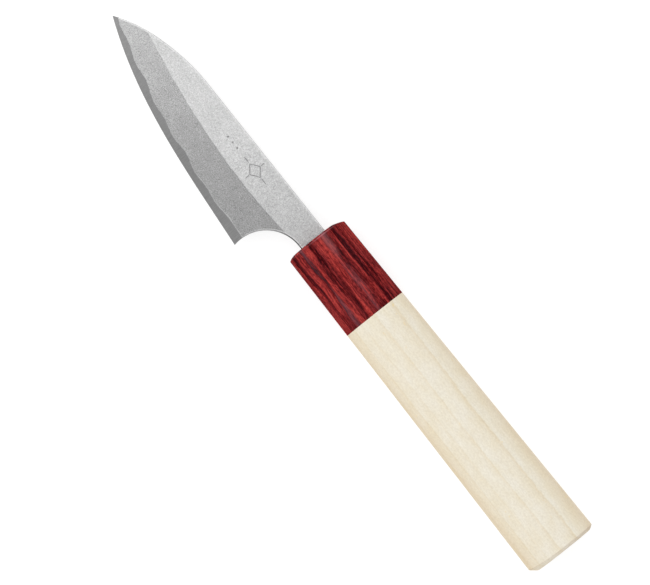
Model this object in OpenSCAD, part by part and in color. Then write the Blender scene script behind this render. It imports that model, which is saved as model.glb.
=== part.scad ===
// Small boning and trimming knife, made the Japanese way: a forged three-layer blade with a hidden
// tang, an oval whitewood handle and a ferrule of dyed laminated wood.
//
// The knife lies on its side. The tip points to -X, the cutting edge to -Y and the left face of the
// blade to +Z. The origin is under the middle of the knife's outline, on the surface it lies on.
//
// Inside the modules x runs along the handle's axis from the front of the ferrule, positive towards
// the butt, y is positive towards the spine, and z = 0 is the middle of the blade's thickness.

/* [Handle] */
// Length of ferrule and handle together
handle_len = 121.3; // [112:0.1:135]
// Half-width of the oval at the front of the ferrule
front_half_w = 10.3; // [9.5:0.05:12]
// Half-width of the oval at the butt
butt_half_w = 11.85; // [10.5:0.05:14]
// Thickness of the oval as a part of its width
oval_ratio = 0.78; // [0.72:0.01:1]
// Length of the chamfer round the butt, along the handle
butt_chamfer_len = 1.3; // [0.5:0.1:3]
// Width of the chamfer round the butt, across the handle
butt_chamfer_w = 1.4; // [0.5:0.1:3]

/* [Ferrule] */
// Length of the ferrule
ferrule_len = 29.3; // [24:0.1:36]
// Radius of its rounded front rim
rim_r = 2; // [0.5:0.1:3]
// Thickness of its closed front wall
front_wall = 5; // [4.8:0.1:8]

/* [Joint between ferrule and handle] */
// Diameter of the handle's tenon and of the bore that it fills
tenon_d = 12.5; // [11:0.1:13.5]
// Room left between the tenon's end and the bottom of the bore
tenon_gap = 0.3; // [0.1:0.1:1]

/* [Blade] */
// Distance from the ferrule to the tip
tip_reach = 91.6; // [85:0.1:100]
// Thickness of the blade at the neck
neck_thick = 2.4; // [2:0.05:3]
// Thickness between the flats where the ridge line runs out into the spine
point_thick = 1.6; // [1:0.05:1.8]
// Thickness left at the cutting edge
edge_thick = 0.1; // [0.06:0.02:0.2]
// Size of the softened corners of the spine and the neck
soft_corner = 0.25; // [0.1:0.05:0.4]
// Height of the spine above the handle's axis
spine_y = 4; // [3:0.1:5]
// Height of the tip
tip_y = -5.9; // [-8:0.1:-4]
// Height of the heel
heel_y = -20.3; // [-22:0.1:-19]

/* [Choil, the round cut-out behind the heel] */
// Radius of the cut-out
choil_r = 12.7; // [11:0.1:13]
// Place of its centre along the handle's axis
choil_x = -1.3; // [-4:0.1:-0.5]
// Height of its centre
choil_y = -17.9; // [-18.5:0.1:-17]

/* [Steel layers] */
// Width of hard core steel that the bevel lays bare along the edge
core_bare = 2.3; // [1.5:0.1:3.5]
// How much wider that strip is at the heel
core_bare_heel = 0.95; // [0:0.05:1.5]
// Height of the waves of the line between the layers
layer_wave = 0.33; // [0:0.01:0.6]
// Length of one wave
layer_wave_len = 12.4; // [8:0.1:30]

/* [Tang] */
// Length of the tang inside the handle, from the front of the ferrule
tang_len = 56; // [45:1:70]
// How far the full neck goes into the ferrule
neck_in = 4.5; // [2:0.1:4.7]
// Width of the tang behind the neck
tang_root_w = 6.8; // [5:0.1:7.2]
// Width of the tang at its end
tang_end_w = 4; // [2.5:0.1:5]
// Gap of resin round the neck in the ferrule
resin_gap = 0.25; // [0.1:0.05:0.4]
// Depth of the resin's front below the front of the ferrule
resin_recess = 0.6; // [0.2:0.1:1]
// Width of the mortise that the tang lies in
mortise_w = 8; // [7.5:0.1:8.5]
// Thickness of the mortise
mortise_thick = 3.2; // [3.1:0.1:3.6]

/* [Hidden] */
$fn = 96;

// The heights of each of the blade's lines, evenly spaced along it, that a smooth curve is drawn
// between. The edge runs from heel to tip, the spine's fall from its straight part to the tip, and
// the ridge line, where flat and bevel meet, from the neck to where it runs out into the spine.
tip_blunt = 0.2;
tip_x = -tip_reach;
heel_x = choil_x - sqrt(choil_r ^ 2 - (heel_y - choil_y) ^ 2);
spine_fall_x = -0.633 * tip_reach;
ridge_start_x = -8;
ridge_end_x = -0.879 * tip_reach;
edge_heights = [heel_y, heel_y + 1.9, heel_y + 3, heel_y + 6.2, tip_y - tip_blunt / 2];
spine_heights = [spine_y, spine_y, spine_y - 2, spine_y - 3.8, tip_y + tip_blunt / 2];
ridge_heights = [-6, -8, -5.5, -0.7];

neck_half = neck_thick / 2;
edge_half = edge_thick / 2;
steepest_bevel = 0.09;
heel_widening_len = 11;
stations = 46;
rim_step = 15;
oval_sides = 96;
far = 200;

neck_bottom = choil_y + choil_r;
tang_y = (spine_y + neck_bottom) / 2 + 0.2;
mortise_end = tang_len + 2;

// The frame: the middle of the outline along X and Y, and the butt's thickness along Z
mid_x = (handle_len - tip_reach) / 2;
mid_y = (oval_r(handle_len - butt_chamfer_len) + heel_y) / 2;
rest_z = oval_ratio * oval_r(handle_len - butt_chamfer_len);

// Height of a smooth curve with the given control heights, at the fraction w of its run
function curve(heights, w) = len(heights) == 1
    ? heights[0]
    : curve([for (i = [0 : len(heights) - 2]) (1 - w) * heights[i] + w * heights[i + 1]], w);

// Half-width of the handle's oval at x
function oval_r(x) = front_half_w + (butt_half_w - front_half_w) * x / handle_len;

function edge_at(x) = curve(edge_heights, (heel_x - x) / (heel_x - tip_x));
function spine_at(x) = curve(spine_heights, max(0, (spine_fall_x - x) / (spine_fall_x - tip_x)));
function corner_at(x) = min(soft_corner, 0.3 * (spine_at(x) - edge_at(x)));
function ridge_line(x) = curve(ridge_heights, max(0, (ridge_start_x - x) / (ridge_start_x - ridge_end_x)));
function ridge_at(x) = x < ridge_end_x
    ? spine_at(x) - 1.5 * corner_at(x)
    : min(ridge_line(x), spine_at(x) - 1.5 * corner_at(x));

// Half-thickness between the flats, which taper evenly towards the point
function flat_half(x) = neck_half - (neck_thick - point_thick) / 2 * (choil_x - x) / (choil_x - ridge_end_x);
function ridge_half(x) = min(flat_half(x), edge_half + steepest_bevel * (ridge_at(x) - edge_at(x)));
function bevel_slope(x) = (ridge_half(x) - edge_half) / (ridge_at(x) - edge_at(x));

// Half-thickness of the core, which waves as the forging left it
function heel_share(x) = exp(-((x - heel_x) / heel_widening_len) ^ 2);
function forged_wave(x) = layer_wave * (cos(360 * (x + 45) / layer_wave_len)
    + 0.5 * cos(180 * (x + 45) / layer_wave_len));
function bare_at(x) = core_bare + core_bare_heel * heel_share(x) + forged_wave(x) * (1 - heel_share(x));
function core_half(x) = edge_half + bevel_slope(x) * bare_at(x);

// The blade's outline across its thickness at x, from the spine round the left face to the right
function blade_section(x) =
    let (spine = spine_at(x), ridge = ridge_at(x), edge = edge_at(x), half = ridge_half(x))
    let (corner = corner_at(x), top = half - min(corner, 0.4 * half))
    [
        [x, spine, top],
        [x, spine - corner, half],
        [x, ridge, half],
        [x, edge, edge_half],
        [x, edge, -edge_half],
        [x, ridge, -half],
        [x, spine - corner, -half],
        [x, spine, -top]
    ];

function station_x(i) = choil_x + (tip_x - choil_x) * i / stations;

// The forged and ground blade before the choil is cut
module ground_blade() {
    points = [for (i = [0 : stations]) each blade_section(station_x(i))];
    sides = [
        for (i = [0 : stations - 1], k = [0 : 7])
        [8 * i + k, 8 * i + (k + 1) % 8, 8 * (i + 1) + (k + 1) % 8, 8 * (i + 1) + k]
    ];
    butt_end = [for (k = [7 : -1 : 0]) k];
    tip_end = [for (k = [0 : 7]) 8 * stations + k];
    polyhedron(points = points, faces = concat([butt_end], sides, [tip_end]), convexity = 4);
}

// A round cut with a chamfer where it breaks through each flat
module choil_cutter() {
    translate([choil_x, choil_y, 0]) {
        cylinder(r = choil_r, h = 4 * neck_thick, center = true);
        for (side = [0, 1])
            mirror([0, 0, side])
                translate([0, 0, neck_half - soft_corner])
                    cylinder(r1 = choil_r, r2 = choil_r + 4 * soft_corner, h = 4 * soft_corner);
    }
}

// The neck from the choil into the ferrule, with softened corners
module neck() {
    c = soft_corner;
    translate([choil_x, 0, 0])
        rotate([90, 0, 90])
            linear_extrude(neck_in - choil_x)
                polygon([
                    [neck_bottom, c - neck_half],
                    [neck_bottom + c, -neck_half],
                    [spine_y - c, -neck_half],
                    [spine_y, c - neck_half],
                    [spine_y, neck_half - c],
                    [spine_y - c, neck_half],
                    [neck_bottom + c, neck_half],
                    [neck_bottom, neck_half - c]
                ]);
}

// The hidden part of the tang, which narrows to a blunt end
module tang() {
    linear_extrude(neck_thick, center = true)
        polygon([
            [neck_in, tang_y - tang_root_w / 2],
            [tang_len, tang_y - tang_end_w / 2],
            [tang_len, tang_y + tang_end_w / 2],
            [neck_in, tang_y + tang_root_w / 2]
        ]);
}

// All three layers of steel together
module blade_blank() {
    difference() {
        ground_blade();
        choil_cutter();
    }
    neck();
    tang();
}

// What lies between two lines drawn along the blade's thickness, seen from the edge
module layer_zone(outline) {
    rotate([90, 0, 0])
        linear_extrude(2 * far, center = true)
            polygon(outline);
}

function core_line(side) = concat(
    [for (i = [stations : -1 : 0]) [station_x(i), side * core_half(station_x(i))]],
    [[far, side * core_half(choil_x)]]
);
function reversed(list) = [for (i = [len(list) - 1 : -1 : 0]) list[i]];

// Hard steel in the middle, bare along the cutting edge and at the tip
module blade_core() {
    color("dimgray")
        place()
            intersection() {
                blade_blank();
                layer_zone(concat(core_line(-1), reversed(core_line(1))));
            }
}

// Soft steel over one face of the core
module cladding(side) {
    intersection() {
        blade_blank();
        layer_zone(concat(core_line(side), [[far, side * far], [tip_x, side * far]]));
    }
}

module blade_cladding_left() {
    color("silver")
        place()
            cladding(1);
}

module blade_cladding_right() {
    color("silver")
        place()
            cladding(-1);
}

// A body of oval cross-sections along the handle's axis, each given as [x, half-width]
module oval_body(rings) {
    last = len(rings) - 1;
    points = [
        for (ring = rings, k = [0 : oval_sides - 1])
        let (a = 360 * k / oval_sides)
        [ring[0], ring[1] * cos(a), oval_ratio * ring[1] * sin(a)]
    ];
    sides = [
        for (i = [0 : last - 1], k = [0 : oval_sides - 1])
        let (next = (k + 1) % oval_sides)
        [i * oval_sides + next, i * oval_sides + k, (i + 1) * oval_sides + k, (i + 1) * oval_sides + next]
    ];
    front = [for (k = [0 : oval_sides - 1]) k];
    back = [for (k = [oval_sides - 1 : -1 : 0]) last * oval_sides + k];
    polyhedron(points = points, faces = concat([front], sides, [back]), convexity = 4);
}

// Sections of the ferrule: the quarter round of its rim, then the taper that the handle goes on with
ferrule_rings = concat(
    [for (a = [0 : rim_step : 90]) [rim_r * (1 - cos(a)), oval_r(rim_r) - rim_r * (1 - sin(a))]],
    [[ferrule_len, oval_r(ferrule_len)]]
);
handle_rings = [
    [ferrule_len, oval_r(ferrule_len)],
    [handle_len - butt_chamfer_len, oval_r(handle_len - butt_chamfer_len)],
    [handle_len, oval_r(handle_len) - butt_chamfer_w]
];

// A round bar or hole on the handle's axis
module axial_cylinder(d, from, to) {
    translate([from, 0, 0])
        rotate([0, 90, 0])
            cylinder(d = d, h = to - from);
}

module axial_box(from, to, low_y, high_y, thick) {
    translate([from, low_y, -thick / 2])
        cube([to - from, high_y - low_y, thick]);
}

// The slot through the ferrule's front wall, which starts at the given depth
module neck_slot(from) {
    axial_box(from, front_wall, neck_bottom - resin_gap, spine_y + resin_gap, neck_thick + 2 * resin_gap);
}

// The mortise through the tenon into the handle
module mortise(from) {
    axial_box(from, mortise_end, tang_y - mortise_w / 2, tang_y + mortise_w / 2, mortise_thick);
}

// A cap of dyed laminated wood, slotted in front for the neck and bored behind for the tenon
module ferrule() {
    color("firebrick")
        place()
            difference() {
                oval_body(ferrule_rings);
                neck_slot(-1);
                axial_cylinder(tenon_d, front_wall, ferrule_len + 1);
            }
}

// The whitewood handle with its tenon
module handle_body() {
    color("antiquewhite")
        place()
            difference() {
                union() {
                    oval_body(handle_rings);
                    axial_cylinder(tenon_d, front_wall + tenon_gap, ferrule_len + 1);
                }
                mortise(front_wall);
            }
}

// Resin poured round the tang, set a little below the front of the ferrule
module tang_adhesive() {
    color("saddlebrown")
        place()
            difference() {
                union() {
                    neck_slot(resin_recess);
                    mortise(front_wall);
                }
                neck();
                tang();
            }
}

module place() {
    translate([-mid_x, -mid_y, rest_z])
        children();
}

blade_core();
blade_cladding_left();
blade_cladding_right();
ferrule();
handle_body();
tang_adhesive();
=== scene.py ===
"""Looks of the boning knife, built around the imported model.

Lengths in this file are millimetres in the knife's own axes: x from the front of the ferrule
towards the butt, y from the handle's axis towards the spine, z out of the blade's left face.
`to_frame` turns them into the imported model's frame, in metres. Lights, floor and camera are given
in that frame directly.
"""

import math

import bmesh
import bpy
import numpy as np
from mathutils import Matrix, Vector


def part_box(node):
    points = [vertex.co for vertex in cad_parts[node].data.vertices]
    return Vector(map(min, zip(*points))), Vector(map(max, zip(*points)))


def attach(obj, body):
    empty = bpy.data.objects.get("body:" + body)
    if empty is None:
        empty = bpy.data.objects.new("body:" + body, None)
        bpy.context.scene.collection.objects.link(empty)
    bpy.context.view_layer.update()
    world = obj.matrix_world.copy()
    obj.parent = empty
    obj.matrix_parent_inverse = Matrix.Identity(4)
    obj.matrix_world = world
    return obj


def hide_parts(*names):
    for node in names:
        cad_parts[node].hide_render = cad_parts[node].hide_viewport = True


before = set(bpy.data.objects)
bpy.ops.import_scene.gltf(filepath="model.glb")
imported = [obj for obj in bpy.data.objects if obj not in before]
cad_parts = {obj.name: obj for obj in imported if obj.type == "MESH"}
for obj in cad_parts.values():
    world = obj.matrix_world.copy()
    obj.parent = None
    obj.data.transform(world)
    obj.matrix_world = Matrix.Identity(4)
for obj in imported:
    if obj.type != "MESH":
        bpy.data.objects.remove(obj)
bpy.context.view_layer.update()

MM = 0.001
ferrule_low, ferrule_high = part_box("ferrule")
ORIGIN = np.array(
    [
        ferrule_low[0],
        (ferrule_low[1] + ferrule_high[1]) / 2,
        (ferrule_low[2] + ferrule_high[2]) / 2,
    ]
)


def to_frame(points):
    return np.asarray(points, float) * MM + ORIGIN


# ---------------------------------------------------------------- sizes, as in the CAD part
HANDLE_LEN, FRONT_HALF_W, BUTT_HALF_W, OVAL_RATIO = 121.3, 10.3, 11.85, 0.78
FERRULE_LEN, FRONT_WALL = 29.3, 5.0
TENON_R, TENON_GAP = 6.25, 0.3
TIP_REACH, NECK_THICK, POINT_THICK, EDGE_THICK, CORNER = 91.6, 2.4, 1.6, 0.1, 0.25
SPINE_Y, TIP_Y, HEEL_Y = 4.0, -5.9, -20.3
CHOIL_R, CHOIL_X, CHOIL_Y = 12.7, -1.3, -17.9
CORE_BARE, CORE_BARE_HEEL, LAYER_WAVE, LAYER_WAVE_LEN = 2.3, 0.95, 0.33, 12.4
TANG_LEN, NECK_IN, TANG_ROOT_W, TANG_END_W = 56.0, 4.5, 6.8, 4.0
RESIN_GAP, MORTISE_W, MORTISE_THICK = 0.25, 8.0, 3.2
EDGE_EASE = 0.07

TIP_BLUNT = 0.2
TIP_X = -TIP_REACH
HEEL_X = CHOIL_X - math.sqrt(CHOIL_R**2 - (HEEL_Y - CHOIL_Y) ** 2)
SPINE_FALL_X = -0.633 * TIP_REACH
RIDGE_START_X, RIDGE_END_X = -8.0, -0.879 * TIP_REACH
EDGE_HEIGHTS = [HEEL_Y, HEEL_Y + 1.9, HEEL_Y + 3, HEEL_Y + 6.2, TIP_Y - TIP_BLUNT / 2]
SPINE_HEIGHTS = [SPINE_Y, SPINE_Y, SPINE_Y - 2, SPINE_Y - 3.8, TIP_Y + TIP_BLUNT / 2]
RIDGE_HEIGHTS = [-6, -8, -5.5, -0.7]
STEEPEST_BEVEL = 0.09
NECK_BOTTOM = CHOIL_Y + CHOIL_R
TANG_Y = (SPINE_Y + NECK_BOTTOM) / 2 + 0.2
MORTISE_END = TANG_LEN + 2
NECK_HALF, EDGE_HALF = NECK_THICK / 2, EDGE_THICK / 2


def curve(heights, w):
    """Height of the smooth curve with these control heights at the fraction w of its run."""
    level = [np.full(np.shape(w), float(h)) for h in heights]
    while len(level) > 1:
        level = [(1 - w) * a + w * b for a, b in zip(level, level[1:])]
    return level[0]


def edge_at(x):
    return curve(EDGE_HEIGHTS, (HEEL_X - x) / (HEEL_X - TIP_X))


def spine_at(x):
    return curve(SPINE_HEIGHTS, np.maximum(0, (SPINE_FALL_X - x) / (SPINE_FALL_X - TIP_X)))


def corner_at(x):
    return np.minimum(CORNER, 0.3 * (spine_at(x) - edge_at(x)))


def ridge_wander(x):
    """How far the ridge line strays from its smooth curve, as hand grinding left it."""
    fade = np.clip((-18 - x) / 10, 0, 1) * np.clip((x + 80) / 3, 0, 1)
    return fade * (
        0.06 * np.sin(x * 0.62 + 1.1) + 0.03 * np.sin(x * 1.37 + 0.4) + 0.02 * np.sin(x * 2.9)
    )


def ridge_at(x):
    w = np.maximum(0, (RIDGE_START_X - x) / (RIDGE_START_X - RIDGE_END_X))
    line = curve(RIDGE_HEIGHTS, w) + ridge_wander(x)
    limit = spine_at(x) - 1.5 * corner_at(x)
    ease = 0.15
    return limit - ease * np.logaddexp(0, (limit - line) / ease)


def flat_half(x):
    """Half-thickness of the blade above the ridge, which thins towards the point."""
    x = np.minimum(x, CHOIL_X)
    return NECK_HALF - (NECK_THICK - POINT_THICK) / 2 * (CHOIL_X - x) / (CHOIL_X - RIDGE_END_X)


def ridge_half(x):
    return np.minimum(flat_half(x), EDGE_HALF + STEEPEST_BEVEL * (ridge_at(x) - edge_at(x)))


def bevel_slope(x):
    return (ridge_half(x) - EDGE_HALF) / (ridge_at(x) - edge_at(x))


def bare_at(x):
    """Width of the strip of core steel that the bevel lays bare, as the forging left it."""
    heel = np.exp(-(((x - HEEL_X) / 11) ** 2))
    wave = LAYER_WAVE * (
        np.cos(2 * np.pi * (x + 45) / LAYER_WAVE_LEN)
        + 0.5 * np.cos(np.pi * (x + 45) / LAYER_WAVE_LEN)
    )
    ripple = 0.05 * np.sin(x * 2.3) + 0.04 * np.sin(x * 4.1 + 1) + 0.03 * np.sin(x * 7.3 + 2)
    taper = 0.6 * np.exp(-(((x - TIP_X) / 8) ** 2))
    return CORE_BARE + CORE_BARE_HEEL * heel + (wave + ripple) * (1 - heel) - taper


def core_half(x):
    """Half-thickness of the core, so that the bevel lays bare the strip."""
    x = np.minimum(x, CHOIL_X)
    return EDGE_HALF + bevel_slope(x) * bare_at(x)


def face_half(x, y):
    """Half-thickness of the ground blade, before its corners are softened."""
    xb = np.minimum(x, CHOIL_X)
    bevel = EDGE_HALF + bevel_slope(xb) * (y - edge_at(xb))
    return np.minimum(ridge_half(xb), bevel)


def softened(half, distance, radius):
    """Half-thickness where a corner of this radius is rounded, at a distance from the rim."""
    d = np.clip(distance, 0, radius)
    return half - radius + np.sqrt(np.maximum(radius**2 - (radius - d) ** 2, 0))


# ---------------------------------------------------------------- mesh helpers
def quads(rows, cols, flip=False, start=0):
    """Faces of a grid of points stored row by row."""
    faces = []
    for i in range(rows - 1):
        for j in range(cols - 1):
            a = start + i * cols + j
            face = (a, a + cols, a + cols + 1, a + 1)
            faces.append(face[::-1] if flip else face)
    return faces


def make_piece(name, points, faces, material, node, sharp=35, zones=None):
    """Adds a smooth-shaded mesh that rides on the root body and stands for a CAD node."""
    mesh = bpy.data.meshes.new(name)
    mesh.from_pydata([tuple(p) for p in to_frame(points)], [], faces)
    for zone, values in (zones or {}).items():
        layer = mesh.attributes.new(zone, "FLOAT", "POINT")
        layer.data.foreach_set("value", np.asarray(values, np.float32))
    mesh.validate()
    obj = bpy.data.objects.new(name, mesh)
    bpy.context.scene.collection.objects.link(obj)

    bm = bmesh.new()
    bm.from_mesh(mesh)
    bmesh.ops.remove_doubles(bm, verts=bm.verts, dist=1e-7)
    bmesh.ops.dissolve_degenerate(bm, edges=bm.edges, dist=1e-7)
    bmesh.ops.recalc_face_normals(bm, faces=bm.faces)
    bm.to_mesh(mesh)
    bm.free()
    mesh.shade_smooth()
    mesh.set_sharp_from_angle(angle=math.radians(sharp))
    mesh.materials.append(material)
    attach(obj, "root")
    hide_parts(node)


# ---------------------------------------------------------------- material helpers
class Nodes:
    """A short way to write a shader's nodes."""

    def __init__(self, name):
        self.material = bpy.data.materials.new(name)
        self.material.use_nodes = True
        self.tree = self.material.node_tree
        self.shader = self.tree.nodes["Principled BSDF"]

    def add(self, kind, inputs=None, **settings):
        node = self.tree.nodes.new(kind)
        for key, value in settings.items():
            setattr(node, key, value)
        for key, value in (inputs or {}).items():
            self.link(value, node.inputs[key])
        return node

    def link(self, value, socket):
        if hasattr(value, "is_output"):
            self.tree.links.new(value, socket)
        else:
            socket.default_value = value

    def place(self):
        """The point in the knife's own axes, in millimetres."""
        coord = self.add("ShaderNodeTexCoord").outputs["Object"]
        shifted = self.add(
            "ShaderNodeVectorMath", {0: coord, 1: tuple(ORIGIN)}, operation="SUBTRACT"
        ).outputs[0]
        return self.add(
            "ShaderNodeVectorMath", {0: shifted, "Scale": 1000.0}, operation="SCALE"
        ).outputs[0]

    def stretch(self, vector, scale, offset=(0, 0, 0)):
        return self.add(
            "ShaderNodeMapping", {0: vector, "Scale": scale, "Location": offset}
        ).outputs[0]

    def noise(self, vector, scale, detail, rough=0.5):
        return self.add(
            "ShaderNodeTexNoise",
            {"Vector": vector, "Scale": scale, "Detail": detail, "Roughness": rough},
        ).outputs["Fac"]

    def math(self, operation, a, b=0.0, c=0.0):
        return self.add("ShaderNodeMath", {0: a, 1: b, 2: c}, operation=operation).outputs[0]

    def ramp(self, value, stops, smooth=False):
        node = self.add("ShaderNodeValToRGB", {"Fac": value})
        ramp = node.color_ramp
        ramp.interpolation = "EASE" if smooth else "LINEAR"
        while len(ramp.elements) < len(stops):
            ramp.elements.new(0.5)
        for element, (position, colour) in zip(ramp.elements, stops):
            element.position = position
            if not hasattr(colour, "__len__"):
                colour = (colour,) * 3
            element.color = (*colour, 1)
        return node.outputs["Color"]

    def mix(self, factor, a, b, blend="MIX"):
        node = self.add("ShaderNodeMix", data_type="RGBA", blend_type=blend)
        self.link(factor, node.inputs["Factor"])
        for value, socket in ((a, node.inputs["A"]), (b, node.inputs["B"])):
            if not hasattr(value, "is_output") and len(value) == 3:
                value = (*value, 1)
            self.link(value, socket)
        return node.outputs["Result"]

    def times(self, a, b):
        """One colour multiplied by another."""
        return self.mix(1.0, a, b, blend="MULTIPLY")

    def part(self, vector, axis):
        """One coordinate of a vector."""
        return self.add("ShaderNodeSeparateXYZ", {0: vector}).outputs[axis]

    def zone(self, name):
        return self.add("ShaderNodeAttribute", attribute_name=name).outputs["Fac"]

    def bump(self, height, distance, strength):
        return self.add(
            "ShaderNodeBump", {"Height": height, "Distance": distance, "Strength": strength}
        ).outputs["Normal"]

    def finish(self, colour, roughness, normal=None, **constants):
        self.link(colour, self.shader.inputs["Base Color"])
        self.link(roughness, self.shader.inputs["Roughness"])
        if normal is not None:
            self.link(normal, self.shader.inputs["Normal"])
        for key, value in constants.items():
            self.shader.inputs[key.replace("_", " ")].default_value = value
        return self.material


def srgb(r, g, b):
    """Linear colour of an sRGB one given in 0 to 255."""

    def one(v):
        v /= 255
        return v / 12.92 if v <= 0.04045 else ((v + 0.055) / 1.055) ** 2.4

    return (one(r), one(g), one(b))


def cladding_steel():
    """Soft steel: a pale pear-skin flat above a darker ground bevel, both with a painted reflection
    that makes them lighter towards the point.
    """
    n = Nodes("cladding_steel")
    p = n.place()
    speckle = n.noise(p, scale=4.2, detail=3, rough=0.7)
    pebbles = n.noise(n.stretch(p, (1.0, 0.75, 1.0)), scale=2.3, detail=2, rough=0.6)
    cloud = n.noise(n.stretch(p, (0.6, 1.0, 1.0)), scale=0.28, detail=2)
    tipward = n.math("MULTIPLY", n.part(p, "X"), -1 / TIP_REACH)
    bevel = n.ramp(n.zone("bevel"), [(0.35, 0.0), (0.65, 1.0)])
    skin = n.math("MULTIPLY_ADD", pebbles, 0.35, n.math("MULTIPLY", speckle, 0.65))
    # painted reflection: the flat and the bevel are coloured lighter towards the point
    flat_colour = n.times(
        n.ramp(skin, [(0.39, 0.63), (0.61, 1.09)]),
        n.ramp(tipward, [(0.0, 0.455), (0.2, 0.488), (0.4, 0.545), (0.9, 0.57)]),
    )
    bevel_colour = n.times(
        n.ramp(speckle, [(0.34, 0.41), (0.66, 1.10)]),
        n.ramp(tipward, [(0.15, 0.33), (0.5, 0.37), (0.75, 0.445), (0.88, 0.48), (1.0, 0.51)]),
    )
    colour = n.mix(bevel, flat_colour, bevel_colour)
    colour = n.times(colour, n.ramp(cloud, [(0.35, 0.94), (0.65, 1.0)]))
    # mark colours the engraved strokes dark grey; line is painted highlight on the spine, the
    # choil's rim and the line between the layers; rim is painted shade on the lower rim of the neck
    for zone, strength, grey in (("mark", 0.75, 0.12), ("line", 0.8, 0.78), ("rim", 0.8, 0.07)):
        colour = n.mix(n.math("MULTIPLY", n.zone(zone), strength), colour, (grey, grey, grey))
    roughness = n.math("MULTIPLY_ADD", speckle, 0.2, 0.34)
    relief = n.math("MULTIPLY_ADD", pebbles, n.math("MULTIPLY_ADD", bevel, -0.8, 1.0), speckle)
    normal = n.bump(relief, 0.0001, 0.8)
    return n.finish(colour, roughness, normal, Metallic=1.0)


def core_steel():
    """Hard steel: darker, finely ground across the edge."""
    n = Nodes("core_steel")
    p = n.place()
    grind = n.noise(n.stretch(p, (5.0, 0.35, 0.35)), scale=1.0, detail=3, rough=0.6)
    speckle = n.noise(p, scale=2.2, detail=2)
    colour = n.times(
        n.ramp(grind, [(0.25, 0.17), (0.75, 0.28)]), n.ramp(speckle, [(0.3, 0.95), (0.7, 1.0)])
    )
    tipward = n.math("MULTIPLY", n.part(p, "X"), -1 / TIP_REACH)
    # painted reflection: the core is coloured lighter towards the point
    shade = n.ramp(tipward, [(0.15, 0.68), (0.4, 0.63), (0.7, 0.70), (1.0, 0.81)])
    colour = n.times(colour, shade)
    # painted highlight along the line between the layers
    colour = n.mix(n.math("MULTIPLY", n.zone("line"), 0.4), colour, (0.50, 0.50, 0.50))
    roughness = n.math("MULTIPLY_ADD", grind, 0.12, 0.36)
    normal = n.bump(grind, 0.00002, 0.4)
    return n.finish(colour, roughness, normal, Metallic=1.0)


# The ferrule's veneers stand edge-on to the left face. Each dark or greyish one, and the band of
# painted sheen, is given by its middle, its half-thickness (both along y, in mm) and how strongly
# it differs from the red ones.
DARK_VENEERS = [
    (-8.5, 0.3, 0.9),
    (-5.6, 0.4, 0.65),
    (-2.3, 1.0, 0.75),
    (3.7, 1.0, 0.55),
    (6.0, 0.35, 1.0),
    (7.6, 0.25, 0.7),
]
GREY_LAYER_AND_SHEEN = [(-5.6, 0.3, 1.0), (2.3, 0.4, 0.7)]
VENEER_FADE = 0.4


def veneer_stops(veneers, plain):
    """Colour-ramp stops that rise at each veneer; plain gives the level at y between them."""
    stops = []
    for middle, half, strength in veneers:
        for side, level in ((-1, None), (-1, strength), (1, strength), (1, None)):
            y = middle + side * (half + (VENEER_FADE if level is None else 0))
            stops.append((y / (2 * FRONT_HALF_W) + 0.5, plain(y) if level is None else level))
    return stops


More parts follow.
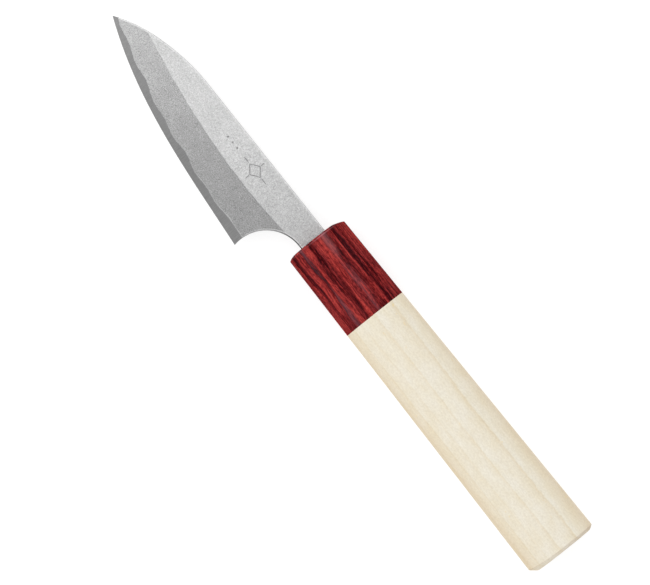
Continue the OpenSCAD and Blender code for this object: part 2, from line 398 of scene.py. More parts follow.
def ferrule_wood():
    """Veneers dyed red and near-black, pressed together in layers and polished."""
    n = Nodes("ferrule_wood")
    p = n.place()
    drift = n.noise(n.stretch(p, (0.06, 0.25, 0.3)), scale=1.0, detail=3)
    sway = n.math("MULTIPLY_ADD", drift, 2.6, -1.3)
    bent = n.add(
        "ShaderNodeVectorMath",
        {0: p, 1: n.add("ShaderNodeCombineXYZ", {"Y": sway, "Z": sway}).outputs[0]},
        operation="ADD",
    ).outputs[0]
    # across the layers: 0 is the cutting side and 1 the spine side
    layer = n.math("MULTIPLY_ADD", n.part(bent, "Y"), 1 / (2 * FRONT_HALF_W), 0.5)
    veneer = n.ramp(layer, veneer_stops(DARK_VENEERS, lambda y: 0.15 if abs(y) < 6.5 else 0.4))
    bands = n.noise(n.stretch(bent, (0.02, 0.35, 0.75)), scale=1.0, detail=4, rough=0.6)
    streaks = n.noise(
        n.stretch(bent, (0.06, 1.6, 2.0), (3, 7, 1)), scale=1.0, detail=4, rough=0.65
    )
    hair = n.noise(n.stretch(bent, (0.8, 5.5, 6.5)), scale=1.0, detail=3, rough=0.6)
    tone = n.math("MULTIPLY_ADD", bands, 0.7, 0.28)
    tone = n.math("MULTIPLY_ADD", n.math("SUBTRACT", streaks, 0.5), 1.4, tone)
    tone = n.math("MULTIPLY_ADD", n.math("SUBTRACT", hair, 0.5), 1.25, tone)
    tone = n.math("MULTIPLY_ADD", veneer, -0.42, tone)
    colour = n.ramp(
        tone,
        [
            (0.12, srgb(44, 2, 6)),
            (0.3, srgb(84, 13, 15)),
            (0.48, srgb(118, 32, 33)),
            (0.68, srgb(160, 52, 48)),
            (0.85, srgb(184, 66, 58)),
        ],
    )
    # a greyish layer on the cutting side, and a painted sheen over the layers beside the spine
    grey_layer_and_sheen = n.ramp(layer, veneer_stops(GREY_LAYER_AND_SHEEN, lambda y: 0.12))
    patchy = n.ramp(
        n.noise(n.stretch(bent, (0.07, 0.5, 1.1), (8, 2, 5)), scale=1.0, detail=3),
        [(0.4, 0.15), (0.6, 0.62)],
    )
    colour = n.mix(n.math("MULTIPLY", grey_layer_and_sheen, patchy), colour, srgb(104, 72, 80))
    # painted sheen near the front, over the layers beside the spine, and a painted highlight along
    # the front rim
    reach = n.math("MULTIPLY", n.part(p, "X"), 0.1)
    painted_sheen = n.ramp(reach, [(0.05, 0.46), (0.35, 0.32), (1.0, 0.0)])
    across = n.ramp(layer, [(0.54, 0.0), (0.60, 1.0), (0.64, 1.0), (0.70, 0.0)], smooth=True)
    colour = n.mix(n.math("MULTIPLY", painted_sheen, across), colour, srgb(122, 86, 90))
    colour = n.mix(n.math("MULTIPLY", n.zone("rim"), 0.42), colour, srgb(206, 140, 148))
    roughness = n.math("MULTIPLY_ADD", hair, 0.15, 0.3)
    normal = n.bump(n.math("MULTIPLY_ADD", streaks, 0.5, hair), 0.00003, 0.35)
    return n.finish(
        colour, roughness, normal, Coat_Weight=0.015, Coat_Roughness=0.2, Specular_IOR_Level=0.0
    )


# The rings are level surfaces of RING_AXIS . place + RING_SHIFT, one ring to each whole number.
RING_AXIS, RING_SHIFT = (-0.0012, 0.189, 0.126), 0.794
CROWD_BELOW_Y, CROWD_RATE = -5.0, 0.07


def handle_wood():
    """Pale whitewood with faint growth rings that a flat-sawn blank shows along its length."""
    n = Nodes("handle_wood")
    p = n.place()
    sway = n.noise(n.stretch(p, (0.025, 0.06, 0.06)), scale=1.0, detail=3)
    fray = n.noise(n.stretch(p, (0.5, 1.0, 1.0), (2, 4, 6)), scale=1.0, detail=2, rough=0.6)
    along_axis = n.add(
        "ShaderNodeVectorMath", {0: p, 1: RING_AXIS}, operation="DOT_PRODUCT"
    ).outputs["Value"]
    height = n.part(p, "Y")
    # the rings crowd together on the cutting side
    below = n.math("MINIMUM", n.math("ADD", height, -CROWD_BELOW_Y), 0.0)
    crowd = n.math("MULTIPLY", below, CROWD_RATE)
    ring = n.math("ADD", n.math("ADD", along_axis, RING_SHIFT), crowd)
    ring = n.math("MULTIPLY_ADD", sway, 0.3, ring)
    ring = n.math("MULTIPLY_ADD", fray, 0.14, ring)
    season = n.ramp(
        n.math("FRACT", ring),
        [
            (0.0, (0.975, 0.95, 0.89)),
            (0.06, (1.0, 1.0, 0.985)),
            (0.3, (1.0, 0.995, 0.975)),
            (0.7, (0.99, 0.975, 0.935)),
            (0.88, (0.97, 0.94, 0.875)),
            (0.95, (0.945, 0.895, 0.80)),
            (0.98, (0.93, 0.875, 0.77)),
            (1.0, (0.955, 0.92, 0.84)),
        ],
    )
    # how plainly each ring shows, from the cutting side at 0 to the spine side at 1
    strength = n.ramp(
        n.math("MULTIPLY_ADD", height, 1 / 24, 0.5),
        [(0.05, 0.25), (0.13, 0.8), (0.23, 0.25), (0.45, 0.6), (0.66, 1.0)],
    )
    season = n.mix(strength, (0.99, 0.975, 0.935), season)
    season = n.times(season, (0.818, 0.779, 0.694))
    # painted shade: the wood is coloured darker and warmer towards both sides of the oval, where
    # its surface turns away from the light
    side_painted_shade = n.ramp(
        n.math("ABSOLUTE", n.math("MULTIPLY", height, 1 / 11)),
        [(0.55, (1.0, 1.0, 1.0)), (0.8, (0.98, 0.95, 0.895)), (1.0, (0.935, 0.86, 0.76))],
    )
    colour = n.times(season, side_painted_shade)
    fibre = n.noise(n.stretch(p, (0.2, 2.6, 2.6)), scale=1.0, detail=3, rough=0.55)
    stipple = n.noise(n.stretch(p, (1.5, 1.9, 1.9)), scale=1.0, detail=3, rough=0.65)
    patches = n.noise(n.stretch(p, (0.16, 0.3, 0.3), (5, 2, 9)), scale=1.0, detail=3)
    colour = n.times(colour, n.ramp(fibre, [(0.35, (0.975, 0.97, 0.96)), (0.6, 1.0)]))
    colour = n.times(colour, n.ramp(stipple, [(0.33, (0.90, 0.885, 0.86)), (0.64, 1.0)]))
    colour = n.times(colour, n.ramp(patches, [(0.35, (0.98, 0.96, 0.91)), (0.65, 1.0)]))
    flecks = n.ramp(
        n.noise(n.stretch(p, (0.5, 0.9, 0.9), (4, 1, 2)), scale=1.0, detail=1),
        [(0.74, 0.0), (0.80, 1.0)],
    )
    colour = n.mix(n.math("MULTIPLY", flecks, 0.45), colour, srgb(232, 206, 140))
    # the end grain is coloured darker than the sides; on the chamfer the darkening is also painted
    # shade, darkest beside the spine
    end = n.math("MULTIPLY", n.zone("end"), n.math("MULTIPLY_ADD", stipple, 0.4, 0.75))
    colour = n.mix(end, colour, n.times(colour, (0.72, 0.655, 0.63)))
    roughness = n.math("MULTIPLY_ADD", fibre, 0.15, 0.55)
    normal = n.bump(n.math("MULTIPLY_ADD", stipple, 0.6, fibre), 0.00004, 0.35)
    return n.finish(colour, roughness, normal, Specular_IOR_Level=0.15)


def set_resin():
    """Dark resin, set hard."""
    n = Nodes("resin")
    p = n.place()
    cloud = n.noise(p, scale=0.7, detail=3)
    colour = n.ramp(cloud, [(0.3, srgb(58, 38, 26)), (0.7, srgb(84, 58, 40))])
    return n.finish(
        colour,
        n.math("MULTIPLY_ADD", cloud, 0.2, 0.5),
        n.bump(cloud, 0.0001, 0.3),
        Specular_IOR_Level=0.4,
    )


def pale_floor():
    """An almost evenly white floor, which still takes a faint shadow."""
    n = Nodes("pale_floor")
    p = n.add("ShaderNodeTexCoord").outputs["Object"]
    grain = n.noise(p, scale=600.0, detail=2)
    colour = n.ramp(grain, [(0.3, (0.34, 0.34, 0.34)), (0.7, (0.36, 0.36, 0.36))])
    return n.finish(
        colour,
        0.9,
        Specular_IOR_Level=0.0,
        Emission_Color=(1.0, 1.0, 1.0, 1.0),
        Emission_Strength=0.75,
    )


STEEL, CORE_STEEL = cladding_steel(), core_steel()
RED_WOOD, WHITE_WOOD, RESIN = ferrule_wood(), handle_wood(), set_resin()


# ---------------------------------------------------------------- the blade's layers
def bare_crossing(x):
    """Height of the line between the layers at x."""
    return edge_at(x) + bare_at(x)


def solve(f, low, high):
    """Where f changes sign between low and high."""
    for _ in range(60):
        mid = (low + high) / 2
        if f(low) * f(mid) <= 0:
            high = mid
        else:
            low = mid
    return (low + high) / 2


def below_spine(x):
    """How far the line between the layers runs below the spine's rounding."""
    return float(spine_at(x) - 1.5 * corner_at(x) - bare_crossing(x))


def outside_choil(x):
    """Above 0 where the line between the layers lies outside the choil's rounding."""
    reach = (x - CHOIL_X) ** 2 + (bare_crossing(x) - CHOIL_Y) ** 2
    return float(reach - (CHOIL_R + CORNER) ** 2)


# The line between the layers runs out into the spine at the tip, and meets the choil at the heel
LINE_TIP_X = solve(below_spine, TIP_X + 0.05, -86.0)
LINE_HEEL_X = solve(outside_choil, -20.0, -13.9)


def choil_angle(x, y):
    """Direction of a point from the choil's centre, from 0 to a full turn in radians."""
    return math.atan2(y - CHOIL_Y, x - CHOIL_X) % (2 * math.pi)


LINE_HEEL_ANGLE = choil_angle(LINE_HEEL_X, float(bare_crossing(LINE_HEEL_X)))
HEEL_ANGLE = choil_angle(HEEL_X, HEEL_Y)


def spaced(low, high, step_at):
    """Places from low to high whose spacing follows step_at."""
    out = [low]
    while out[-1] < high:
        out.append(out[-1] + step_at(out[-1]))
    out = np.array(out)
    return low + (out - low) * (high - low) / (out[-1] - low)


ROW_LEAN = 3.5


def row_tops(feet, fade):
    """Where rows meet the spine: near the heel they lean towards the tip, by up to ROW_LEAN."""
    tops = feet - ROW_LEAN * np.exp((feet - feet[-1]) / fade)
    return tops - (tops[0] - feet[0]) * np.clip((tops[-1] - tops) / (tops[-1] - tops[0]), 0, 1)


def blade_rows(along, tops, start, foot, arc_rows):
    """Feet and tops of the rows that cross one layer, from the tip to the neck's end.

    The first feet lie on the line `along`. The others go round the choil, from the angle `start`,
    and along the neck, at the distance `foot` from the rim.
    """
    radius = CHOIL_R + foot
    turn = np.linspace(start, math.pi / 2, arc_rows)[1:]
    arc = np.stack([CHOIL_X + radius * np.cos(turn), CHOIL_Y + radius * np.sin(turn)], 1)
    share = (start - turn) / (start - math.pi / 2)
    arc_tops = tops[-1] + (CHOIL_X - tops[-1]) * share
    neck = np.linspace(CHOIL_X, NECK_IN, 14)[1:]
    straight = np.stack([neck, np.full(len(neck), NECK_BOTTOM + foot)], 1)
    top_x = np.concatenate([tops, arc_tops, neck])
    return np.concatenate([along, arc, straight]), np.stack([top_x, spine_at(top_x)], 1)


def spread(length, count, head, tail):
    """Distances along a row: fine steps at both ends, even ones between."""
    head, tail = (np.array(steps) * min(1, 0.3 * length / steps[-1]) for steps in (head, tail))
    middle = np.linspace(head[-1], length - tail[-1], count + 2)[1:-1]
    return np.concatenate([[0], head, middle, (length - tail)[::-1], [length]])


def rise_share(p, q, count, height_at, last=False):
    """Share of the way from p to q where height_at rises through 0.

    It's 0 where height_at is above 0 all the way, and None where it never gets there.
    """
    shares = np.linspace(0, 1, count)
    height = height_at(p[0] + (q[0] - p[0]) * shares, p[1] + (q[1] - p[1]) * shares)
    rising = np.nonzero((height[:-1] < 0) & (height[1:] >= 0))[0]
    if not len(rising):
        return None if height[-1] < 0 else 0.0
    k = rising[-1 if last else 0]
    return shares[k] + (shares[k + 1] - shares[k]) * -height[k] / (height[k + 1] - height[k])


def kept_inside(place, length, margin):
    """The place along a row, moved off the row's ends."""
    margin = min(margin, 0.3 * length)
    return min(max(place, margin), length - margin)


ROUND_STEPS = CORNER * (1 - np.cos(np.radians([22, 44, 66, 90])))
LINE_HALF_W = 0.11
ENGRAVED_FROM, ENGRAVED_TO = -43, -22
GROOVE_HALF_W, DOT_R, GROOVE_DEPTH = 0.17, 0.45, 0.07


def engraving():
    """Strokes of the small ornament on the left flat: a lozenge with four rays, and three dots."""
    cx, cy, half_x, half_y = -27.6, -1.3, 2.6, 2.0
    corners = [(cx - half_x, cy), (cx, cy + half_y), (cx + half_x, cy), (cx, cy - half_y)]
    strokes = [(corners[k], corners[(k + 1) % 4]) for k in range(4)]
    strokes += [
        ((cx - half_x - 0.7, cy), (cx - half_x - 2.6, cy)),
        ((cx + half_x + 0.7, cy), (cx + half_x + 2.6, cy)),
        ((cx, cy + half_y + 0.5), (cx, cy + half_y + 1.4)),
        ((cx, cy - half_y - 0.5), (cx, cy - half_y - 1.4)),
    ]
    dots = [(-36.4, cy), (-38.6, cy), (-40.8, cy)]
    return strokes, dots


def groove_depth(x, y):
    """Depth of the engraving at a point, as a share of its full depth."""
    strokes, dots = engraving()
    depth = np.zeros(np.shape(x))
    for (x0, y0), (x1, y1) in strokes:
        dx, dy = x1 - x0, y1 - y0
        length = dx * dx + dy * dy
        t = np.clip(((x - x0) * dx + (y - y0) * dy) / length, 0, 1)
        away = np.hypot(x - x0 - t * dx, y - y0 - t * dy)
        depth = np.maximum(depth, np.clip(1 - (away / GROOVE_HALF_W) ** 2, 0, 1))
    for x0, y0 in dots:
        away = np.hypot(x - x0, y - y0)
        depth = np.maximum(depth, np.clip(1 - (away / DOT_R) ** 2, 0, 1))
    return depth


def rim_shade(x):
    """Painted shade on the rounded rim: none at the choil's front, rising to full along the neck.
    """
    return np.clip((x + 10.5) / 5, 0, 1)


def cladding_row(p, q, flat_cols, on_rim):
    """Points of one row from its foot p to the spine q, and their share of each zone."""
    length = float(np.hypot(*(q - p)))
    at_ridge = (rise_share(p, q, 200, lambda x, y: y - ridge_at(x), last=True) or 0.0) * length
    bend = kept_inside(at_ridge, length, 0.5)
    low = spread(bend, 22, [0.06, 0.15, 0.3], [0.12, 0.3])
    high = spread(length - bend, flat_cols, [0.12, 0.3], ROUND_STEPS)
    along = np.concatenate([low, bend + high[1:]]) / length
    # the ridge is crisp, except near the point, where polishing has blurred it
    blur = 0.3 + 0.8 * float(np.clip((-75 - p[0]) / 6, 0, 1))
    bevel = np.clip(0.5 - (along * length - at_ridge) / blur, 0, 1)
    # painted highlights on the rounded spine, the rim of the choil and the line between the layers;
    # painted shade on the lower rim of the neck
    spine_painted_highlight = 0.68 * np.exp(-((length * (1 - along) / 0.42) ** 2))
    if on_rim:
        from_rim = along * length + CORNER
        light = 0.5 * np.exp(-(((from_rim - 0.55) / 0.15) ** 2))
        # painted shade on the lower rim of the neck
        rim = np.clip((0.44 - from_rim) / 0.12, 0, 1) * rim_shade(p[0])
    else:
        heelward = float(np.clip((p[0] + 50) / 30, 0.15, 1))
        light = 0.27 * heelward * np.exp(-((along * length / LINE_HALF_W) ** 2))
        rim = 0 * along
    return p + (q - p) * along[:, None], bevel, np.maximum(light, spine_painted_highlight), rim


def cladding_grid(engraved):
    """Rows across one face, as a grid of points, with the zones and the row at the heel."""

    def step_at(x):
        if engraved and ENGRAVED_FROM < x < ENGRAVED_TO:
            return 0.14
        return 0.3 if x < -80 else 0.5

    xs = spaced(LINE_TIP_X, LINE_HEEL_X, step_at)
    corner_row = len(xs) - 1
    along = np.stack([xs, bare_crossing(xs)], 1)
    feet, tops = blade_rows(along, row_tops(xs, 10), LINE_HEEL_ANGLE, CORNER, 56)
    flat_cols = 96 if engraved else 26
    rows = [
        cladding_row(p, q, flat_cols, i > corner_row) for i, (p, q) in enumerate(zip(feet, tops))
    ]
    grid, bevel, line, rim = (np.array(part) for part in zip(*rows))
    mark = groove_depth(grid[..., 0], grid[..., 1]) if engraved else np.zeros(grid.shape[:2])
    return grid, {"bevel": bevel, "line": line, "mark": mark, "rim": rim}, corner_row


def cladding_height(grid, mark, corner_row):
    """Height of one face over the middle of the blade, at the points of its grid."""
    x, y = grid[..., 0], grid[..., 1]
    half = face_half(x, y)
    spine_slope = np.gradient(spine_at(x[:, -1]), x[:, -1])
    to_spine = (spine_at(x) - y) * np.cos(np.arctan(spine_slope))[:, None]
    top = softened(half, to_spine, np.minimum(corner_at(x), 0.4 * half)) - GROOVE_DEPTH * mark
    core = core_half(x)
    top = np.maximum(top, core)
    top[: corner_row + 1, 0] = core[: corner_row + 1, 0]
    return top


class FaceBuilder:
    """A mesh gathered block by block, whose points carry their share of each zone."""

    def __init__(self, points, faces, zones):
        self.points, self.faces = points, faces
        self.zones = {zone: values.reshape(-1) for zone, values in zones.items()}

    def add_rim(self, flat, z):
        """Adds a line of points on the rounded rim or under it, and gives their numbers."""
        start = len(self.points)
        self.points = np.concatenate([self.points, np.column_stack([flat, z])])
        new = {
            "bevel": np.zeros(len(flat)),
            # line: painted highlight on the spine's rim; rim: painted shade on the lower rim of the
            # neck
            "line": 0.75 * (flat[:, 1] > spine_at(flat[:, 0]) - 0.05),
            "mark": np.zeros(len(flat)),
            "rim": rim_shade(flat[:, 0]) * (flat[:, 1] < 0),
        }
        for zone, values in new.items():
            self.zones[zone] = np.concatenate([self.zones[zone], values])
        return list(range(start, start + len(flat)))

    def strip(self, a, b):
        """Adds the faces between two lines of points."""
        for k in range(len(a) - 1):
            self.faces.append((a[k], a[k + 1], b[k + 1], b[k]))


def build_cladding(side, engraved):
    """One face's soft steel. Its feather edge follows the line between the layers."""
    grid, zones, corner_row = cladding_grid(engraved)
    rows, cols = grid.shape[:2]
    z = cladding_height(grid, zones["mark"], corner_row) * side
    points = np.concatenate([grid.reshape(-1, 2), z.reshape(-1, 1)], 1)
    mesh = FaceBuilder(points, quads(rows, cols, flip=side < 0), zones)

    # the rounded rim of the choil and the neck, from the first column outwards
    rim_rows = np.arange(corner_row, rows)
    base = grid[rim_rows, 0]
    away = base - np.array([CHOIL_X, CHOIL_Y])
    away /= np.linalg.norm(away, axis=1)[:, None]
    away[base[:, 0] > CHOIL_X + 1e-6] = (0, 1)
    previous = [int(i) * cols for i in rim_rows]
    rim_ends = []
    for distance in list(ROUND_STEPS[::-1][1:]) + [0.0]:
        flat = base - away * (CORNER - distance)
        height = softened(face_half(flat[:, 0], flat[:, 1]), distance, CORNER)
        current = mesh.add_rim(flat, side * np.maximum(height, core_half(flat[:, 0])))
        mesh.strip(previous, current)
        rim_ends.append(current[-1])
        previous = current
    # down to the core along the choil and neck, and along the spine
    rim_floor = mesh.add_rim(flat, side * core_half(flat[:, 0]))
    mesh.strip(previous, rim_floor)
    spine_flat = grid[:, -1]
    spine_floor = mesh.add_rim(spine_flat, side * core_half(spine_flat[:, 0]))
    mesh.strip(spine_floor, [i * cols + cols - 1 for i in range(rows)])
    # the hidden face against the core, and the neck's end inside the ferrule
    floor = [i * cols for i in range(corner_row)] + rim_floor
    for k in range(rows - 1):
        corner = (corner_row * cols,) if k + 1 == corner_row else ()
        mesh.faces.append((floor[k], *corner, floor[k + 1], spine_floor[k + 1], spine_floor[k]))
    end = [(rows - 1) * cols + j for j in range(cols)]
    mesh.faces.append(tuple(end + [spine_floor[-1], rim_floor[-1]] + rim_ends[::-1]))
    name = "cladding_left" if side > 0 else "cladding_right"
    make_piece(
        name,
        mesh.points,
        mesh.faces,
        STEEL,
        f"blade_{name}",
        sharp=28,
        zones=mesh.zones,
    )


def core_grid():
    """Rows across the core, as a grid of points, with how strong the painted highlight along the
    line between the layers is at each.
    """
    xs = spaced(TIP_X, HEEL_X, lambda x: 0.2 if x < -84 else 0.45)
    along = np.stack([xs, edge_at(xs)], 1)
    feet, tops = blade_rows(along, row_tops(xs, 8), HEEL_ANGLE, 0, 72)
    grid, lines = [], []
    for p, q in zip(feet, tops):
        length = float(np.hypot(*(q - p)))
        share = rise_share(p, q, 300, lambda x, y: face_half(x, y) - core_half(x))
        at_line = (1.0 if share is None else share) * length
        bend = kept_inside(at_line, length, 0.2)
        low = spread(bend, 8, [0.05, 0.15], [0.06, 0.15, 0.3])
        high = spread(length - bend, 3, [0.2], [0.2])
        along = np.concatenate([low, bend + high[1:]]) / length
        grid.append(p + (q - p) * along[:, None])
        # painted highlight, stronger towards the heel
        light = 0.8 * float(np.clip((p[0] + 50) / 30, 0.1, 1))
        lines.append(light * np.exp(-(((along * length - at_line) / LINE_HALF_W) ** 2)))
    return np.array(grid), np.array(lines).reshape(-1)


def build_core():
    """The hard middle layer, bare along the edge, with its stripe showing all round the rim."""
    grid, lines = core_grid()
    rows, cols = grid.shape[:2]
    x, y = grid[..., 0], grid[..., 1]
    z = np.minimum(face_half(x, y), core_half(x))
    z = np.maximum(z, EDGE_HALF * 0.6)
    flat = grid.reshape(-1, 2)
    left = np.column_stack([flat, z.reshape(-1)])
    right = np.column_stack([flat, -z.reshape(-1)])
    across = rows * cols
    points = np.concatenate([left, right])
    faces = quads(rows, cols) + quads(rows, cols, flip=True, start=across)
    for i in range(rows - 1):
        a, b = i * cols, (i + 1) * cols
        faces.append((a, b, b + across, a + across))
        a, b = i * cols + cols - 1, (i + 1) * cols + cols - 1
        faces.append((b, a, a + across, b + across))
    for i in (0, rows - 1):
        for j in range(cols - 1):
            a = i * cols + j
            face = (a, a + 1, a + 1 + across, a + across)
            faces.append(face if i else face[::-1])
    make_piece(
        "core_steel",
        points,
        faces,
        CORE_STEEL,
        "blade_core",
        sharp=28,
        zones={"line": np.concatenate([lines, lines])},
    )


def build_tang():
    """The forged tang behind the neck, hidden in the handle."""
    corner = 0.35
    corners = ((1, 1, 0), (-1, 1, 90), (-1, -1, 180), (1, -1, 270))
    half_z = NECK_HALF - corner
    points = []
    stations = np.linspace(NECK_IN, TANG_LEN, 40)
    for x in stations:
        share = (x - NECK_IN) / (TANG_LEN - NECK_IN)
        half_y = (TANG_ROOT_W + (TANG_END_W - TANG_ROOT_W) * share) / 2 - corner
        for side_y, side_z, first in corners:
            for a in np.radians(first + np.arange(0, 91, 30)):
                y = TANG_Y + side_y * half_y + corner * math.cos(a)
                points.append((x, y, side_z * half_z + corner * math.sin(a)))
    count = len(points) // len(stations)
    faces = []
    for i in range(len(stations) - 1):
        here, there = i * count, (i + 1) * count
        for k in range(count):
            m = (k + 1) % count
            faces.append((here + k, here + m, there + m, there + k))
    faces.append(tuple(range(count)))
    faces.append(tuple(range(len(points) - count, len(points))))
    make_piece("tang", points, faces, STEEL, "blade_core")


build_cladding(1, True)
build_cladding(-1, False)
build_core()
build_tang()


# ---------------------------------------------------------------- the handle's oval parts
SIDES = 192
ANGLES = np.linspace(0, 2 * np.pi, SIDES, endpoint=False)


def oval_r(x):
    """Half-width of the handle's oval at x."""
    return FRONT_HALF_W + (BUTT_HALF_W - FRONT_HALF_W) * x / HANDLE_LEN


def oval_ring(x, r):
    """A ring of the handle's oval; x and r may differ round it."""
    x = np.broadcast_to(x, SIDES)
    r = np.broadcast_to(r, SIDES)
    return np.column_stack([x, r * np.cos(ANGLES), OVAL_RATIO * r * np.sin(ANGLES)])


def circle_ring(x, r):
    return np.column_stack([np.full(SIDES, x), r * np.cos(ANGLES), r * np.sin(ANGLES)])


def box_ring(x, mid_y, half_y, half_z):
    """A ring that follows a rectangle, with a point on each of its corners."""
    c, s = np.cos(ANGLES), np.sin(ANGLES)
    reach = 1 / np.maximum(np.abs(c) / half_y, np.abs(s) / half_z)
    y, z = reach * c, reach * s
    corner = math.atan2(half_z, half_y)
    for a in (corner, math.pi - corner, math.pi + corner, 2 * math.pi - corner):
        k = int(round(a / (2 * math.pi) * SIDES)) % SIDES
        y[k], z[k] = math.copysign(half_y, math.cos(a)), math.copysign(half_z, math.sin(a))
    return np.column_stack([np.full(SIDES, x), mid_y + y, z])


def blend_rings(a, b, count):
    """Rings between two rings, both left out."""
    return [a + (b - a) * k / (count + 1) for k in range(1, count + 1)]


def lofted(name, rings, closed, material, node, zones):
    """A solid from rings; closed joins the last to the first, or else both ends get a centre."""
    count = len(rings)
    points = np.concatenate(rings)
    faces = []
    for i in range(count if closed else count - 1):
        j = (i + 1) % count
        for k in range(SIDES):
            m = (k + 1) % SIDES
            faces.append((i * SIDES + k, j * SIDES + k, j * SIDES + m, i * SIDES + m))
    if not closed:
        for ring in (0, count - 1):
            centre = len(points)
            points = np.concatenate([points, rings[ring].mean(0)[None]])
            for k in range(SIDES):
                m = (k + 1) % SIDES
                faces.append((ring * SIDES + k, ring * SIDES + m, centre))
    make_piece(name, points, faces, material, node, sharp=40, zones=zones)


def towards(angle_deg):
    """1 where the ring faces this way, falling to 0 at its sides and behind."""
    return np.clip(np.cos(ANGLES - math.radians(angle_deg)), 0, 1) ** 2


def build_ferrule():
    """The dyed ferrule, as one closed tube from the slot over the outside to the bore."""
    # the front was rounded over by hand: a broad shallow slope on the side of the spine
    rim_len = 0.65 + 0.75 * towards(0) + 0.25 * towards(180)
    rim_w = 0.7 + 3.3 * towards(0) + 1.7 * towards(180)
    power = 2 - 0.75 * towards(0) - 0.5 * towards(180)
    slot_y = (SPINE_Y + NECK_BOTTOM) / 2
    slot_half_y = (SPINE_Y - NECK_BOTTOM) / 2 + RESIN_GAP
    slot_half_z = NECK_HALF + RESIN_GAP
    # the slot, from the bore forwards to the front face
    stations = (FRONT_WALL, 3.5, 2, 0.8, 0.12)
    rings = [box_ring(x, slot_y, slot_half_y, slot_half_z) for x in stations]
    lip = box_ring(0.0, slot_y, slot_half_y + 0.1, slot_half_z + 0.1)
    rings.append(lip)
    front = oval_ring(0.0, oval_r(0) - rim_w)
    rings += blend_rings(lip, front, 5)
    # the rounded rim, and the body
    first_rim = len(rings)
    for a in np.radians(np.arange(0, 91, 7.5)):
        back, out = np.cos(a) ** (2 / power), np.sin(a) ** (2 / power)
        rings.append(oval_ring(rim_len * (1 - back), oval_r(rim_len) - rim_w * (1 - out)))
    for past in (0.15, 0.35):
        rings.append(oval_ring(rim_len + past, oval_r(rim_len + past)))
    last = rings[-1]
    end = oval_ring(FERRULE_LEN - EDGE_EASE, oval_r(FERRULE_LEN))
    rings += blend_rings(last, end, 12) + [end]
    last_rim = len(rings)
    seam = oval_ring(FERRULE_LEN, oval_r(FERRULE_LEN) - EDGE_EASE)
    rings.append(seam)
    mouth = circle_ring(FERRULE_LEN, TENON_R)
    rings += blend_rings(seam, mouth, 2) + [mouth]
    deep = circle_ring(FRONT_WALL, TENON_R)
    rings += blend_rings(mouth, deep, 6) + [deep]
    # painted highlight: a pale line along the front rim, most of all beside the spine
    rim_highlight = []
    for k, ring in enumerate(rings):
        outside = first_rim <= k < last_rim
        band = np.exp(-(((ring[:, 0] - 0.6) / 0.16) ** 2)) if outside else 0
        rim_highlight.append(band * (0.2 + 0.8 * np.exp(-(((ring[:, 1] - 2.5) / 3.0) ** 2))))
    lofted(
        "ferrule_cap",
        rings,
        True,
        RED_WOOD,
        "ferrule",
        zones={"rim": np.concatenate(rim_highlight)},
    )


def build_handle():
    """The whitewood body, from the bottom of its mortise over the tenon to the butt's face."""
    # the chamfer round the butt was cut by hand, deeper on the side of the cutting edge
    chamfer_len = 0.85 + 0.08 * towards(0) + 0.9 * towards(180)
    chamfer_w = 1.15 + 0.2 * towards(0) + 1.05 * towards(180)
    stations = (MORTISE_END, 45, 30, 18, FRONT_WALL + TENON_GAP)
    rings = [box_ring(x, TANG_Y, MORTISE_W / 2, MORTISE_THICK / 2) for x in stations]
    tenon_front = circle_ring(FRONT_WALL + TENON_GAP, TENON_R - 0.2)
    rings += blend_rings(rings[-1], tenon_front, 1) + [tenon_front]
    rings.append(circle_ring(FRONT_WALL + TENON_GAP + 0.2, TENON_R))
    root = circle_ring(FERRULE_LEN, TENON_R)
    rings += blend_rings(rings[-1], root, 5) + [root]
    seam = oval_ring(FERRULE_LEN, oval_r(FERRULE_LEN) - EDGE_EASE)
    rings += blend_rings(root, seam, 2) + [seam]
    start = oval_ring(FERRULE_LEN + EDGE_EASE, oval_r(FERRULE_LEN))
    rings.append(start)
    body_end = HANDLE_LEN - chamfer_len
    end = oval_ring(body_end - 0.25, oval_r(body_end - 0.25))
    rings += blend_rings(start, end, 40) + [end]
    body_rings = len(rings)
    # the chamfer, with small steps that ease its two edges
    slope = chamfer_w / chamfer_len
    foot, head = oval_r(body_end), oval_r(body_end) - chamfer_w
    rings.append(oval_ring(body_end - 0.05, foot - 0.03))
    rings.append(oval_ring(body_end + 0.15, foot - 0.15 * slope))
    rings.append(oval_ring(HANDLE_LEN - 0.15, head + 0.15 * slope))
    rings.append(oval_ring(HANDLE_LEN - 0.04, head - 0.02))
    rings.append(oval_ring(HANDLE_LEN, head - 0.25))
    face = oval_ring(HANDLE_LEN, 0.6)
    rings += blend_rings(rings[-1], face, 8) + [face]
    # end grain: none on the body, full on the face; on the chamfer it is also painted shade, which
    # varies by direction and is darkest beside the spine
    end_grain_and_shade = np.full(len(rings) * SIDES + 2, 0.45)
    end_grain_and_shade[: body_rings * SIDES] = 0
    chamfer_shade = 0.32 + 0.32 * np.cos(ANGLES)
    end_grain_and_shade[(body_rings + 1) * SIDES : (body_rings + 4) * SIDES] = np.tile(chamfer_shade, 3)
    lofted(
        "handle_grip",
        rings,
        False,
        WHITE_WOOD,
        "handle_body",
        zones={"end": end_grain_and_shade},
    )


build_ferrule()
build_handle()
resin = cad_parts["tang_adhesive"]
resin.data.materials.clear()
resin.data.materials.append(RESIN)

# ---------------------------------------------------------------- floor, light and camera
FLOOR_REACH, FLOOR_DROP = 6.0, 5e-5


def add_floor():
    """A square floor, just under the knife."""
    corners = [(-1, -1), (1, -1), (1, 1), (-1, 1)]
    mesh = bpy.data.meshes.new("floor")
    mesh.from_pydata(
        [(x * FLOOR_REACH, y * FLOOR_REACH, -FLOOR_DROP) for x, y in corners], [], [(0, 1, 2, 3)]
    )
    mesh.materials.append(pale_floor())
    floor = bpy.data.objects.new("floor", mesh)
    bpy.context.scene.collection.objects.link(floor)


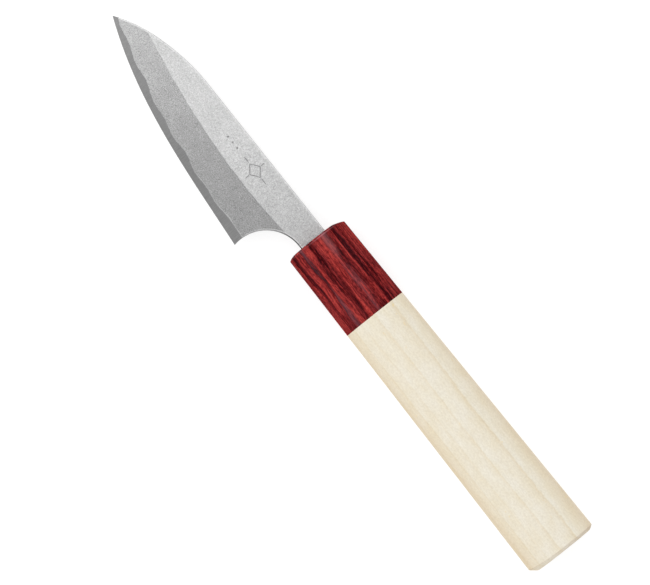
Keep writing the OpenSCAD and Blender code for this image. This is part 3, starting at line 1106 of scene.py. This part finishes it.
# White at the horizon, to meet the floor; FADE_START and FADE_END are the sines of two elevations.
HORIZON_LIGHT, OVERHEAD_LIGHT = 1.02, 0.75
FADE_START, FADE_END = 0.12, 0.15


def add_world():
    """Even light from all round, which fades from the horizon to overhead."""
    world = bpy.data.worlds.new("studio")
    bpy.context.scene.world = world
    world.use_nodes = True
    nodes, links = world.node_tree.nodes, world.node_tree.links
    backdrop = nodes["Background"]
    backdrop.inputs["Strength"].default_value = 1.0
    direction = nodes.new("ShaderNodeTexCoord")
    upward = nodes.new("ShaderNodeSeparateXYZ")
    fade = nodes.new("ShaderNodeValToRGB")
    stops = ((FADE_START, HORIZON_LIGHT), (FADE_END, OVERHEAD_LIGHT))
    for element, (position, level) in zip(fade.color_ramp.elements, stops):
        element.position = position
        element.color = (level, level, level, 1)
    links.new(direction.outputs["Generated"], upward.inputs[0])
    links.new(upward.outputs["Z"], fade.inputs["Fac"])
    links.new(fade.outputs["Color"], backdrop.inputs["Color"])


def add_softbox(name, place, size, power):
    """A rectangular soft light that faces the middle of the knife's outline."""
    data = bpy.data.lights.new(name, "AREA")
    data.shape = "RECTANGLE"
    data.size, data.size_y = size
    data.energy = power
    lamp = bpy.data.objects.new(name, data)
    lamp.location = place
    lamp.rotation_mode = "QUATERNION"
    lamp.rotation_quaternion = (-Vector(place)).to_track_quat("-Z", "Y")
    bpy.context.scene.collection.objects.link(lamp)


# The camera looks almost straight down, with the knife running from upper left to lower right.
# VIEW_WIDTH is what the picture spans at the knife, and PICTURE_RIGHT points to its right side.
VIEW_WIDTH = 0.19801
CAMERA_HEIGHT, CAMERA_BUTTWARD = 2.0, 0.045
AIM_X, AIM_Y = -0.00017, -0.003545
PICTURE_RIGHT = (0.62266, 0.78249, 0)


def add_camera():
    """A long lens over the knife, a little towards the butt."""
    data = bpy.data.cameras.new("camera")
    data.sensor_width = 36.0
    camera = bpy.data.objects.new("camera", data)
    bpy.context.scene.collection.objects.link(camera)
    level = float(ORIGIN[2])
    aim = Vector((AIM_X, AIM_Y, level))
    stand = Vector((CAMERA_BUTTWARD, AIM_Y, level + CAMERA_HEIGHT))
    back = (stand - aim).normalized()
    up = back.cross(Vector(PICTURE_RIGHT)).normalized()
    right = up.cross(back)
    camera.matrix_world = Matrix((*zip(right, up, back, stand), (0, 0, 0, 1)))
    data.lens = data.sensor_width * (stand - aim).length / VIEW_WIDTH
    data.clip_start, data.clip_end = 0.05, 50
    bpy.context.scene.camera = camera
    bpy.context.scene.view_settings.view_transform = "Standard"


add_floor()
add_world()
add_softbox("key", (-0.42, -0.34, 1.3), (1.2, 1.2), 7.5)
add_softbox("strip", (-0.25, 0.46, 1.2), (0.42, 0.09), 1.2)
add_camera()
